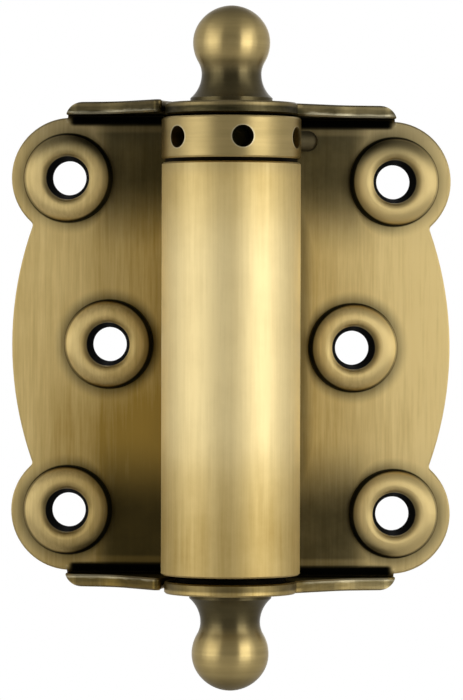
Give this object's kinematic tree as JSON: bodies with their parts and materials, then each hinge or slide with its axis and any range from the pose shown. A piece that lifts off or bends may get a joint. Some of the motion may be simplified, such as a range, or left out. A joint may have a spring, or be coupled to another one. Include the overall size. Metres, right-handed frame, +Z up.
{
  "type": "screen door spring hinge",
  "caption": "Self-closing screen door hinge in antique brass: two ball-tipped leaves on a spring barrel with a pin-set tension collar.",
  "frame": {"origin": "on the back face of the left (fixed) leaf, straight behind the pin axis, at that leaf's mid-height", "axes": "+X across the hinge to the door leaf, +Y back into the door frame (out of the fixed leaf's back face), +Z up along the pin"},
  "size_m": [0.0694, 0.0293, 0.1065],
  "materials": {
    "leaf_brass": "antique brass, vertically brushed, dark in the corners",
    "barrel_brass": "antique brass, satin",
    "collar_brass": "antique brass, satin, turned",
    "finial_brass": "antique brass, turned, greyer in the neck",
    "pin_brass": "dark antique brass",
    "plug_steel": "plain turned steel",
    "spring_steel": "oiled spring steel",
    "pin_steel": "bright drawn steel",
    "washer_steel": "blackened steel"
  },
  "bodies": {
    "fixed_side": {"fixed_leaf": "leaf_brass", "barrel_tube": "barrel_brass", "barrel_plug": "plug_steel", "torsion_spring": "spring_steel", "collar_washer": "washer_steel"},
    "door_side": {"door_leaf": "leaf_brass", "hinge_pin": "pin_steel", "top_finial": "finial_brass", "bottom_finial": "finial_brass", "top_washer": "washer_steel", "bottom_washer": "washer_steel"},
    "collar": {"tension_collar": "collar_brass", "tension_pin": "pin_brass"}
  },
  "joints": [
    {"name": "leaf_swing", "type": "hinge", "parent": "fixed_side", "child": "door_side", "pos_m": [0, -0.0124, 0], "axis": [0, 0, -1], "range_deg": [0, 175], "stiffness_Nm_per_rad": 0.18, "springref_deg": -60.16, "deforming": ["torsion_spring"]},
    {"name": "collar_turn", "type": "hinge", "parent": "door_side", "child": "collar", "pos_m": [0, -0.0124, 0], "axis": [0, 0, -1], "range_deg": [0, 60], "stiffness_Nm_per_rad": 0.18, "springref_deg": -60.16}
  ]
}
